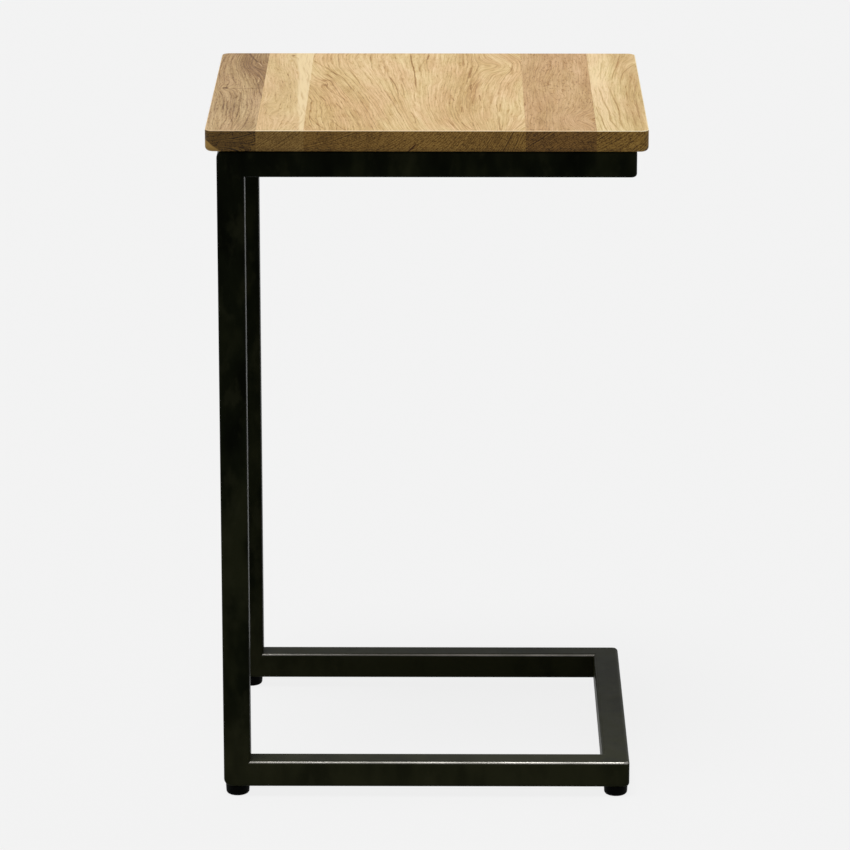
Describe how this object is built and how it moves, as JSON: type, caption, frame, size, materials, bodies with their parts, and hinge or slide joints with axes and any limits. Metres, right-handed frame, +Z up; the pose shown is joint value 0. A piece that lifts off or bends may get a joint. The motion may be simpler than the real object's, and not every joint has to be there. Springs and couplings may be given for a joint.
{
  "type": "sofa table",
  "caption": "C-shaped sofa table with an oak plank top on a black welded square-tube frame, a U-shaped base and screw-in levelling feet.",
  "frame": {"origin": "on the floor, under the middle of the table top", "axes": "+X from the legs to the open side of the C, +Y from front to back along the grain, +Z up"},
  "size_m": [0.4, 0.35, 0.64],
  "materials": {
    "oak_left_edge": "dark grey-brown oak, matt oil",
    "oak_inner_left": "pale oak with a sapwood strip, matt oil",
    "oak_centre": "golden oak with swirling grain, matt oil",
    "oak_inner_right": "reddish brown oak with fine grain, matt oil",
    "oak_right_edge": "pale yellow oak with wavy lines, matt oil",
    "black_paint": "black satin powder coat over welded steel tube",
    "zinc_steel": "zinc plated steel",
    "black_plastic": "black moulded plastic, matt"
  },
  "bodies": {
    "table": {"left_edge_plank": "oak_left_edge", "inner_left_plank": "oak_inner_left", "centre_plank": "oak_centre", "inner_right_plank": "oak_inner_right", "right_edge_plank": "oak_right_edge", "front_leg": "black_paint", "rear_leg": "black_paint", "front_top_rail": "black_paint", "rear_top_rail": "black_paint", "front_base_rail": "black_paint", "rear_base_rail": "black_paint", "base_cross_rail": "black_paint", "top_right_cross_rail": "black_paint", "top_left_cross_rail": "black_paint", "front_left_bracket": "black_paint", "front_right_bracket": "black_paint", "rear_left_bracket": "black_paint", "rear_right_bracket": "black_paint", "top_screws": "zinc_steel", "top_screw_washers": "zinc_steel", "foot_inserts": "zinc_steel"},
    "front_left_foot": {"front_left_glide": "black_plastic", "front_left_stud": "zinc_steel"},
    "front_right_foot": {"front_right_glide": "black_plastic", "front_right_stud": "zinc_steel"},
    "rear_left_foot": {"rear_left_glide": "black_plastic", "rear_left_stud": "zinc_steel"},
    "rear_right_foot": {"rear_right_glide": "black_plastic", "rear_right_stud": "zinc_steel"}
  },
  "joints": [
    {"name": "front_left_foot_height", "type": "slide", "parent": "table", "child": "front_left_foot", "axis": [0, 0, -1], "range_m": [0, 0.008]},
    {"name": "front_right_foot_height", "type": "slide", "parent": "table", "child": "front_right_foot", "axis": [0, 0, -1], "range_m": [0, 0.008]},
    {"name": "rear_left_foot_height", "type": "slide", "parent": "table", "child": "rear_left_foot", "axis": [0, 0, -1], "range_m": [0, 0.008]},
    {"name": "rear_right_foot_height", "type": "slide", "parent": "table", "child": "rear_right_foot", "axis": [0, 0, -1], "range_m": [0, 0.008]}
  ]
}
